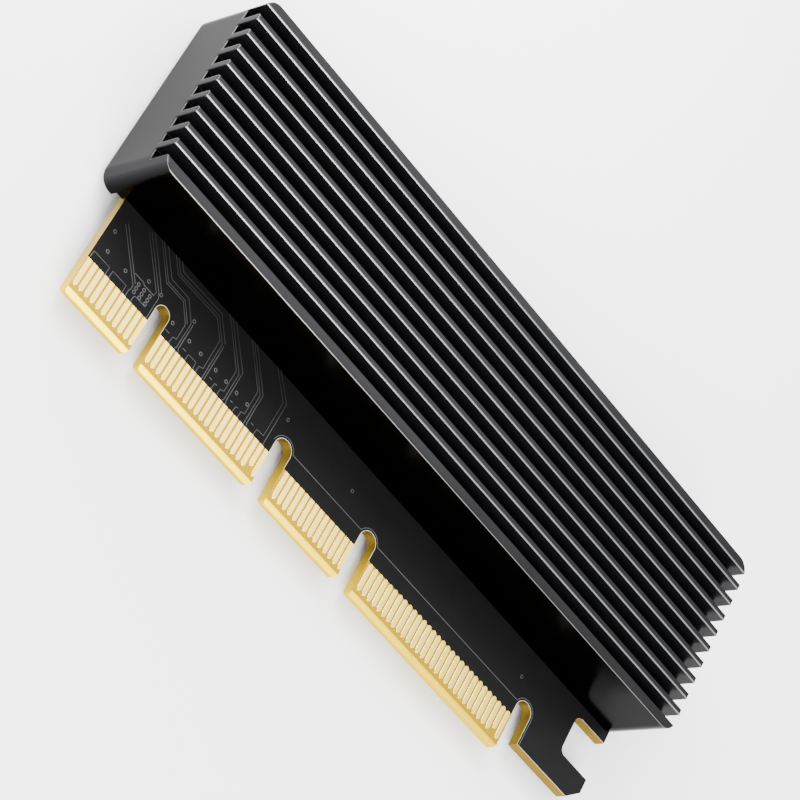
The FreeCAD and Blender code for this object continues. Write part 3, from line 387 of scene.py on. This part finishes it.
def under_mask(name, light, dark):
    """Copper seen through the mask, with a painted shade darkening it towards the heatsink."""
    material, tree, shader = new_material(name)
    place = add(tree, "TexCoord").outputs["Object"]
    cloud = add(tree, "TexNoise", Vector=place, Scale=cells(1 / 3), Detail=3.0).outputs["Fac"]
    bright = add(tree, "Mix", COLOURS, Factor=cloud, i6=colour(dark), i7=colour(light)).outputs[2]
    across = add(tree, "SeparateXYZ", Vector=place).outputs["Y"]
    start, end = HEATSINK_SHADE_START * MM, HEATSINK_SHADE_END * MM
    # Painted shade: towards the heatsink the colour turns dark and the shine fades.
    heatsink_shade = add(tree, "MapRange", Value=across, i1=start, i2=end, i4=HEATSINK_SHADE_DEPTH).outputs["Result"]
    skin = add(tree, "Mix", COLOURS, Factor=heatsink_shade, i6=bright, i7=colour("#0e0e0f")).outputs[2]
    link(tree, skin, shader, "Base Color")
    rough = add(tree, "MapRange", Value=cloud, i1=0.3, i2=0.7, i3=0.4, i4=0.5).outputs["Result"]
    link(tree, rough, shader, "Roughness")
    shine = add(tree, "MapRange", Value=heatsink_shade, i3=0.5, i4=0.1).outputs["Result"]
    link(tree, shine, shader, "Specular IOR Level")
    bump = add(tree, "Bump", Height=cloud, Strength=0.05, Distance=RELIEF).outputs["Normal"]
    link(tree, bump, shader, "Normal")
    return material


covered_copper = under_mask("mask_over_copper", "#343436", "#28282a")
via_ring = under_mask("mask_over_via_ring", "#3e3e40", "#303032")
print(covered_copper.name, via_ring.name)


# %% [markdown]
# ## Finishes on the solids
# Every solid gets the finish of its real part. The shapes stay, and only the material in each slot of
# a solid changes.

# %% Finishes
FINISHES = {
    "circuit_board": mask_and_laminate,
    "component_side_contacts": gold,
    "solder_side_contacts": gold,
    "heatsink": black_aluminium,
    "heatsink_screws": screw_steel,
    "thermal_pad": silicone,
    "m2_socket_housing": moulded,
    "m2_upper_contacts": spring,
    "m2_lower_contacts": spring,
    "m2_solder_tabs": tin,
    "ssd_standoff": nickel,
    "ssd_screw": screw_steel,
    "standoff_screw": screw_steel,
    "bulk_capacitors": tantalum,
    "ceramic_capacitors": fired,
    "pull_up_resistors": glaze,
}
for name, finish in FINISHES.items():
    for material_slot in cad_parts[name].material_slots:
        material_slot.material = finish
print("finishes", len(FINISHES))


# %% [markdown]
# ## Edge contacts
# The contacts are gold-plated copper pads on a 1.00 mm pitch, the same count on both sides. Their
# solids have plain cut corners. On the real card the ends are round and the outer edge is soft, so
# each shown contact is a block whose end corners are bevelled round and whose outer rim gets a small
# cut that catches the light. A flat curve could be extruded instead, but would leave the rim sharp.

# %% One contact
CONTACT_WIDTH, CONTACT_HEIGHT = 0.7, 0.05
END_ROUND, END_STEPS = 0.99, 7  # the bevel's share of half the width, and its segments
RIM_CUT = 0.02


def contact_mesh(x, bottom, top, round_top, side):
    """A block with its end corners rolled round and its outer edge softened."""
    centre = Vector((x, (bottom + top) / 2, side * (TOP + CONTACT_HEIGHT / 2))) * MM
    size = Vector((CONTACT_WIDTH, top - bottom, CONTACT_HEIGHT)) * MM
    block = bmesh.new()
    bmesh.ops.create_cube(block, size=1.0, matrix=Matrix.Translation(centre) @ Matrix.Diagonal((*size, 1.0)))
    upright = [edge for edge in block.edges if abs(edge.verts[0].co.z - edge.verts[1].co.z) > 1e-6]
    ends = [edge for edge in upright if round_top or edge.verts[0].co.y < centre.y]
    bmesh.ops.bevel(block, geom=ends, offset=CONTACT_WIDTH / 2 * MM * END_ROUND, offset_type="OFFSET",
                    segments=END_STEPS, profile=0.5, affect="EDGES", clamp_overlap=True, material=-1)
    outer = [face for face in block.faces
             if abs(face.normal.z) > 0.9 and face.calc_center_median().z * side > abs(centre.z)]
    rim = list({edge for face in outer for edge in face.edges})
    bmesh.ops.bevel(block, geom=rim, offset=RIM_CUT * MM, offset_type="OFFSET",
                    segments=1, profile=0.5, affect="EDGES", clamp_overlap=True, material=-1)
    mesh = bpy.data.meshes.new("contact")
    block.to_mesh(mesh)
    block.free()
    return mesh


print("a contact is", CONTACT_WIDTH, "wide and stands", CONTACT_HEIGHT, "proud")

# %% Both rows of contacts
PITCH = 1.0
TONGUES = ((-11.5, 11), (1.5, 21), (25.5, 14), (42.5, 30))  # X of the first contact, and how many there are
CONTACT_BOTTOM, SHORT_BOTTOM = 1.22, 2.02  # the presence contacts are short, so that they mate last
SHORT_FRONT, SHORT_BACK = (31, 75), (1,)  # their numbers, from the bracket end
OVERLAP, OVERLAP_STEPS = 0.2, 10  # on the longest tongue more is bare, fully so from the tenth contact on


def new_object(name, mesh, material):
    """A shown piece of the card that rides on its one body."""
    piece = bpy.data.objects.new(name, mesh)
    bpy.context.scene.collection.objects.link(piece)
    piece.data.materials.clear()
    piece.data.materials.append(material)
    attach(piece, "root")
    return piece


def contacts(name, side, short_places):
    """All the contacts of one side as one piece."""
    row = bmesh.new()
    number = 0
    for tongue, (first, count) in enumerate(TONGUES):
        longest = tongue == len(TONGUES) - 1
        for place in range(count):
            number += 1
            bottom = SHORT_BOTTOM if number in short_places else CONTACT_BOTTOM
            top = MASK_LINE + (OVERLAP * min(place / OVERLAP_STEPS, 1.0) if longest else 0.0)
            single = contact_mesh(first + place * PITCH, bottom, top, longest, side)
            row.from_mesh(single)
            bpy.data.meshes.remove(single)
    mesh = bpy.data.meshes.new(name)
    row.to_mesh(mesh)
    row.free()
    return new_object(name, mesh, gold)


front_contacts = contacts("front_contacts", 1, SHORT_FRONT)
back_contacts = contacts("back_contacts", -1, SHORT_BACK)
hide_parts("component_side_contacts")
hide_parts("solder_side_contacts")
print("contacts", len(front_contacts.data.polygons), len(back_contacts.data.polygons))


# %% [markdown]
# ## Runs under the mask
# Copper runs lift the mask by a few hundredths of a millimetre, and the light catches their edges. A
# texture could draw them, but wouldn't stand proud. Each is a curve with a low trapezium as its bevel
# object, swept along the run's corners and turned into a mesh, so that a run is no more than a short
# list of corners, in millimetres.

# %% Sweeping a run
FLAT_TOP = 0.72  # share of a run's width that its flat top takes


def section(name, width, height, side):
    """The trapezium that is swept, as a closed curve."""
    curve = bpy.data.curves.new(name, "CURVE")
    spline = curve.splines.new("POLY")
    shoulder = width * FLAT_TOP / 2
    corners = [(-width / 2, 0), (width / 2, 0), (shoulder, height), (-shoulder, height)]
    spline.points.add(len(corners) - 1)
    for point, (across, up) in zip(spline.points, corners):
        point.co = (across * MM, side * up * MM, 0, 1)
    spline.use_cyclic_u = True
    return bpy.data.objects.new(name, curve)


def swept(name, paths, width, height, closed, side):
    """A trapezium swept along each path, on the component side (1) or the solder side (-1)."""
    profile = section(name + "_section", width, height, side)
    curve = bpy.data.curves.new(name, "CURVE")
    curve.dimensions = "3D"
    curve.twist_mode = "Z_UP"
    curve.bevel_mode = "OBJECT"
    curve.bevel_object = profile
    curve.use_fill_caps = True
    for path in paths:
        spline = curve.splines.new("POLY")
        spline.points.add(len(path) - 1)
        for point, (x, y) in zip(spline.points, path):
            point.co = (x * MM, y * MM, side * TOP * MM, 1)
        spline.use_cyclic_u = closed
    holder = bpy.data.objects.new(name, curve)
    bpy.context.scene.collection.objects.link(holder)
    bpy.context.view_layer.update()
    mesh = bpy.data.meshes.new_from_object(holder.evaluated_get(bpy.context.evaluated_depsgraph_get()))
    bpy.data.objects.remove(holder)
    bpy.data.objects.remove(profile)
    outward = bmesh.new()
    outward.from_mesh(mesh)
    bmesh.ops.recalc_face_normals(outward, faces=outward.faces)
    outward.to_mesh(mesh)
    outward.free()
    return mesh


def arc(x, y, radius, start, end, steps):
    """Points on an arc, from start to end in degrees."""
    angles = [math.radians(start + (end - start) * step / steps) for step in range(steps + 1)]
    return [(x + radius * math.cos(angle), y + radius * math.sin(angle)) for angle in angles]


print("runs lie on Z", TOP, "and", -TOP)

# %% Runs and vias of the component side
# The corners of each run, from the bracket end towards the latch tab where they can be, and then the
# places of the vias.
ROUTES = [
    [(-10.25, 12.15), (-5.17, 7.1), (-5.17, 6.5), (-5.32, 6.25), (-5.32, 5.35)],
    [(-9.95, 12.45), (-5.0, 7.45)],
    [(-11.72, 5.4), (-11.67, 6.4), (-8.9, 6.4), (-8.9, 5.35)],
    [(-8.33, 5.35), (-8.3, 6.4), (-5.9, 6.4), (-5.86, 5.35)],
    [(-4.34, 5.35), (-4.34, 6.1), (-4.17, 6.33), (-2.43, 6.33)],
    [(-6.03, 8.33), (-5.7, 8.49), (-4.23, 8.49), (-3.97, 8.29), (-2.17, 8.29)],
    [(-7.1, 13.8), (-2.17, 8.85), (-2.17, 8.45)],
    [(-6.8, 14.1), (-1.85, 9.05), (-1.5, 8.5), (-1.5, 5.35)],
    [(-6.35, 14.35), (-1.6, 9.4)],
    [(-5.6, 14.5), (-5.55, 14.85), (-1.7, 10.82), (1.43, 10.8), (3.2, 8.9), (3.3, 8.6), (3.3, 6.5),
     (2.73, 6.33), (2.66, 5.35)],
    [(-5.15, 14.85), (-1.57, 11.13), (1.57, 11.1), (3.43, 9.1)],
    [(-4.4, 14.85), (-1.37, 11.73), (1.83, 11.7), (3.87, 9.5), (3.87, 5.8), (3.7, 5.4)],
    [(4.19, 9.62), (4.19, 5.8), (4.33, 5.4)],
    [(-2.95, 14.85), (-0.97, 12.83), (6.35, 12.85), (8.3, 10.9), (8.33, 6.47), (7.73, 6.27), (7.66, 5.35)],
    [(-2.45, 14.85), (-0.77, 13.16), (6.55, 13.2), (8.84, 10.75), (8.84, 5.35)],
    [(-1.75, 14.85), (-0.57, 13.67), (6.67, 13.73), (9.17, 11.1)],
    [(9.17, 10.7), (9.17, 5.5)],
    [(-0.17, 14.6), (7.4, 14.62), (7.95, 14.25), (12.3, 9.7), (12.3, 6.47), (11.73, 6.27), (11.66, 5.35)],
    [(7.85, 14.85), (12.84, 9.67), (12.84, 5.7), (12.7, 5.4)],
    [(8.5, 14.85), (13.2, 10.2), (13.2, 5.8), (13.35, 5.4)],
    [(11.75, 14.65), (16.25, 10.0), (16.27, 6.47), (15.67, 6.27), (15.66, 5.35)],
    [(12.05, 14.85), (16.8, 9.85), (16.8, 5.4)],
    [(12.6, 14.85), (17.17, 10.15), (17.17, 5.8), (17.3, 5.4)],
    [(16.55, 14.85), (20.05, 11.6), (20.0, 6.33), (18.8, 6.27), (18.68, 5.35)],
    [(17.15, 14.85), (20.6, 11.8), (20.55, 5.35)],
    [(1.3, 6.31), (2.1, 6.31)],
    [(4.63, 6.31), (5.17, 6.31)],
    [(5.67, 5.35), (5.72, 6.31), (7.1, 6.31), (7.17, 5.35)],
    [(9.64, 6.31), (10.1, 6.31)],
    [(11.07, 6.31), (10.68, 6.22), (10.62, 5.35)],
    [(13.67, 6.27), (14.07, 6.27)],
    [(15.07, 6.31), (14.72, 6.22), (14.66, 5.35)],
    [(17.64, 6.27), (18.07, 6.27)],
]
VIAS = [
    (-10.81, 10.33), (-10.21, 7.71), (-6.99, 7.71), (-3.74, 9.13), (-1.45, 9.11), (1.77, 7.67), (4.05, 10.04),
    (4.87, 7.64), (7.04, 7.63), (9.87, 7.63), (11.87, 7.63), (13.87, 7.63), (15.9, 7.63), (21.83, 10.49),
    (34.77, 10.45), (70.8, 10.5),
]
# Nine more stand in a block beside the key notch.
VIAS += [(x, y) for x in (-4.63, -3.65, -2.6) for y in (7.79, 7.17, 6.59)]
print(len(ROUTES), "runs", len(VIAS), "vias")


# %% [markdown]
# ## Guard run
# One run follows the three wide notches just outside their walls, with straight links between them.
# It is worked out from the notches: an arc round each, cut off where the link meets it.

# %% Guard run
GUARD_GAP = 0.36  # between a notch's wall and the run
LINK_LEVEL = 7.56
GUARD_START, GUARD_END = (21.5, 7.1), 3.1  # its first corner, and the Y at which it ends
FIRST_ANGLE = 170  # where the run meets the first notch's arc
ARC_STEPS = 16

guard_radius = NOTCH_RADIUS + GUARD_GAP
notch_centre = NOTCH_TOP - NOTCH_RADIUS
reach = math.degrees(math.asin((LINK_LEVEL - notch_centre) / guard_radius))
guard = [GUARD_START]
for x in NOTCH_AXES:
    start = FIRST_ANGLE if x == NOTCH_AXES[0] else 180 - reach
    end = 0 if x == NOTCH_AXES[-1] else reach
    guard += arc(x, notch_centre, guard_radius, start, end, ARC_STEPS)
guard += [(NOTCH_AXES[-1] + guard_radius, GUARD_END)]
print("guard run", len(guard), "corners, links meet the arcs at", round(reach, 1), "degrees")


# %% [markdown]
# ## Runs and vias of the solder side
# Each of the drive's four lanes has one pair of runs on either side. Here the pairs run close together
# from their contacts to the socket, and three wide runs bring power from the first contacts. The vias
# come through from the other side, with a few more where runs end and a row that ties the ground under
# the heatsink. This side is hidden, so plain straight stretches worked out by a loop are enough.

# %% Runs and vias of the solder side
RUN_START = 5.35  # just past the mask's edge
LANE_CONTACTS = (4.5, 9.5, 13.5, 17.5)  # X of each lane's first contact
PAIR_GAP = 0.35  # between the two runs of a lane
LANE_BENDS = (6.2, 6.9, 9.0)  # Y at which a lane's runs close up, are close, and turn aside
CLOSE_START, CLOSE_GAP = 0.3, 0.3  # X from the first contact to the first close run, and on to the second
COLUMN, COLUMN_STEP = 5.2, 1.35  # X of the first lane on its way up, and on to the next lane
SOCKET_ROW, SOCKET_STEP = 21.0, 4.0  # Y at which the first lane turns to the socket, and on to the next
SOCKET_END, SOCKET_RISE = 4.2, 1.0  # X at which the lanes end, and how far they slant up to there
SOCKET_VIAS, VIA_RISE, VIA_STEP = 3.9, 1.1, 0.5  # X of their vias, and Y up from the row and on to the next
POWER_CONTACTS, POWER_SHIFT = (-9.5, -8.5, -3.5), 1.2  # X of their contacts, and how far the runs step aside
POWER_BENDS = (8.0, 9.2, 17.0)  # Y at which they step aside, are aside and end
POWER_VIAS = 17.3
STITCHES, STITCH_ROW = range(12, 82, 7), 16.2  # X of the row of ground vias, and its Y


def lane_run(lane, pair):
    """One run of a lane: out of its contact, beside its partner, aside, up, and in to the socket."""
    contact = LANE_CONTACTS[lane]
    start = contact + PITCH * pair
    turn = contact + CLOSE_START + CLOSE_GAP * pair
    closing, closed, aside = LANE_BENDS
    level = aside + lane + PAIR_GAP * pair
    column = COLUMN + COLUMN_STEP * lane + PAIR_GAP * pair
    row = SOCKET_ROW + SOCKET_STEP * lane
    return [(start, RUN_START), (start, closing), (turn, closed), (turn, level),
            (column, level + turn - column), (column, row), (SOCKET_END, row + SOCKET_RISE + PAIR_GAP * pair)]


def power_run(x):
    """A wide run from a power contact, aside and up under the heatsink."""
    leaving, beside, end = POWER_BENDS
    return [(x, RUN_START), (x, leaving), (x + POWER_SHIFT, beside), (x + POWER_SHIFT, end)]


BACK_ROUTES = [guard] + [lane_run(lane, pair) for lane in range(len(LANE_CONTACTS)) for pair in (0, 1)]
BACK_POWER = [power_run(x) for x in POWER_CONTACTS]
BACK_VIAS = VIAS + [(SOCKET_VIAS, SOCKET_ROW + VIA_RISE + SOCKET_STEP * lane + VIA_STEP * pair)
                    for lane in range(len(LANE_CONTACTS)) for pair in (0, 1)]
BACK_VIAS += [(x + POWER_SHIFT, POWER_VIAS) for x in POWER_CONTACTS]
BACK_VIAS += [(x, STITCH_ROW) for x in STITCHES]
print(len(BACK_ROUTES), "runs", len(BACK_POWER), "power runs", len(BACK_VIAS), "vias")


# %% [markdown]
# ## Copper on both sides
# A via is a plated hole filled under the mask, and shows as a small raised ring. It is swept like a
# run, along a closed circle, and stands a little higher than the runs that end on it.

# %% Copper on both sides
RUN_WIDTH, RUN_HEIGHT = 0.13, 0.025
RING_RADIUS, RING_WIDTH, RING_HEIGHT = 0.21, 0.13, 0.03
RING_POINTS = 24
POWER_WIDTH = 0.6


def copper(name, side, paths, spots):
    """The runs and the vias' rings of one side, as two pieces."""
    runs = swept(name + "_routes", paths, RUN_WIDTH, RUN_HEIGHT, False, side)
    new_object(name + "_routes", runs, covered_copper)
    last_angle = 360 - 360 / RING_POINTS
    circles = [arc(x, y, RING_RADIUS, 0, last_angle, RING_POINTS - 1) for x, y in spots]
    rings = swept(name + "_vias", circles, RING_WIDTH, RING_HEIGHT, True, side)
    new_object(name + "_vias", rings, via_ring)
    print(name, len(paths), "routes", len(spots), "vias", len(runs.polygons), len(rings.polygons))


copper("board", 1, ROUTES + [guard], VIAS)
copper("solder_side", -1, BACK_ROUTES, BACK_VIAS)
power = swept("solder_side_power", BACK_POWER, POWER_WIDTH, RUN_HEIGHT, False, -1)
new_object("solder_side_power", power, covered_copper)
print("power runs", len(power.polygons))


# %% [markdown]
# ## Bare rims
# The mask stops a hair short of the cut edges, so that the router doesn't chip it, and pale scraped
# laminate shows as a thin line round the notches, along the latch tab's lower edge and along the upper
# wall of the latch gap. Its pale colour is also a painted highlight on the edges' corners. It is too
# narrow for the board's own faces to carry, so it is swept too, thin and flat.

# %% Bare rims
RIM_WIDTH, RIM_HEIGHT = 0.07, 0.01
RIM_STEPS = 20
KEY_RADIUS, KEY_TOP = 1.13, 8.4
TAB_BOTTOM, TAB_END = 2.97, 85.75  # the tab's lower edge, and the X at which its cut corner starts
GAP_TOP, GAP_START, GAP_END = 12.92, 82.7, 87.75  # the gap's upper wall, and the X of its ends
half_rim = RIM_WIDTH / 2


def slot_rim(x, radius, top):
    """A rim up one wall of a notch, round its end and down the other."""
    outer = radius + half_rim
    return [(x - outer, MASK_LINE), *arc(x, top - radius, outer, 180, 0, RIM_STEPS), (x + outer, MASK_LINE)]


bare_rims_and_highlights = [slot_rim(0.0, KEY_RADIUS, KEY_TOP)]
bare_rims_and_highlights += [slot_rim(x, NOTCH_RADIUS, NOTCH_TOP) for x in NOTCH_AXES]
# The last notch's rim goes on down and along the latch tab's lower edge.
tab_level = TAB_BOTTOM + half_rim
bare_rims_and_highlights[-1][-1:] = [(NOTCH_AXES[-1] + NOTCH_RADIUS + half_rim, tab_level), (TAB_END, tab_level)]
bare_rims_and_highlights.append([(GAP_START, GAP_TOP + half_rim), (GAP_END, GAP_TOP + half_rim)])
for name, side in (("board_bare_rim_and_highlight", 1), ("solder_side_bare_rim_and_highlight", -1)):
    new_object(name, swept(name, bare_rims_and_highlights, RIM_WIDTH, RIM_HEIGHT, False, side), pale_rim_and_highlight)
print("bare rims", len(bare_rims_and_highlights))


# %% [markdown]
# ## Stage
# The card lies on a pale matt floor under an overcast sky. A wide key from the back left gives the
# light its direction. An overhead softbox stands where the fins' tops and the contacts mirror it to
# the camera. A small edge light from the front draws the fins' near edges, and a small fill close to
# the back left lifts that end. A bare sun lamp would be simpler, but metal needs wide lights to mirror.

# %% Floor
FLOOR_GAP = 0.1  # below the card's lowest point
FLOOR_SIZE = 2.0  # half its width, in metres

floor_mesh = bpy.data.meshes.new("floor")
plane = bmesh.new()
bmesh.ops.create_grid(plane, x_segments=1, y_segments=1, size=FLOOR_SIZE)
plane.to_mesh(floor_mesh)
plane.free()
floor = bpy.data.objects.new("floor", floor_mesh)
bpy.context.scene.collection.objects.link(floor)
floor.location = (0.04, 0.02, cad_box[0][2] - FLOOR_GAP * MM)
floor_material, _, floor_shader = new_material("pale_floor")
floor_shader.inputs["Base Color"].default_value = colour("#f2f2f2")
floor_shader.inputs["Roughness"].default_value = 0.8
floor.data.materials.append(floor_material)
bpy.context.view_layer.update()
print("floor", tuple(floor.dimensions), "at", floor.location.z)

# %% Softboxes
CARD_MIDDLE = Vector((0.037, 0.02, 0.0))


def softbox(name, towards, distance, size, watts):
    """A square light in a given direction from the card's middle, facing it. Its size is in metres."""
    lamp = bpy.data.lights.new(name, "AREA")
    lamp.shape = "SQUARE"
    lamp.size = size
    lamp.energy = watts
    holder = bpy.data.objects.new(name, lamp)
    bpy.context.scene.collection.objects.link(holder)
    direction = Vector(towards).normalized()
    holder.location = CARD_MIDDLE + direction * distance
    holder.rotation_euler = direction.to_track_quat("Z", "Y").to_euler()
    print(name, "at", tuple(holder.location), watts, "W")


softbox("key", (-0.45, 0.5, 0.74), 1.1, 0.6, 15.0)
softbox("overhead", (0.12, 0.53, 0.71), 0.9, 0.7, 3.6)
softbox("edge_light", (0.12, -0.78, 0.62), 0.5, 0.3, 5.5)
softbox("left_fill", (-0.62, 0.78, 0.31), 0.16, 0.12, 1.0)

# %% Overcast sky
SKY_STRENGTH = 2.3

world = bpy.data.worlds.new("overcast")
world.use_nodes = True
bpy.context.scene.world = world
background = next(node for node in world.node_tree.nodes if node.type == "BACKGROUND")
background.inputs["Color"].default_value = colour("#ffffff")
background.inputs["Strength"].default_value = SKY_STRENGTH
print("sky", SKY_STRENGTH)


# %% [markdown]
# ## Camera
# The camera has the viewing angle, the distance and the roll of the view that the card was modelled
# from. A heading and a descent say where it looks more plainly than three Euler angles would.

# %% Camera
EYE = Vector((-142.81, -179.49, 273.53))
HEADING, DESCENT, ROLL = 40.90, 45.24, 80.21  # degrees
LENS, SENSOR = 139.98, 36.0

camera_data = bpy.data.cameras.new("camera")
camera_data.sensor_width = SENSOR
camera_data.lens = LENS
camera_data.clip_start = 0.01
camera = bpy.data.objects.new("camera", camera_data)
bpy.context.scene.collection.objects.link(camera)
camera.location = EYE * MM
heading, descent = math.radians(HEADING), math.radians(DESCENT)
level = math.cos(descent)
forward = Vector((math.sin(heading) * level, math.cos(heading) * level, -math.sin(descent)))
upright = forward.to_track_quat("-Z", "Y").to_matrix()
camera.rotation_euler = (upright @ Matrix.Rotation(math.radians(ROLL), 3, "Z")).to_euler()
bpy.context.scene.camera = camera
print("camera looks along", tuple(forward))
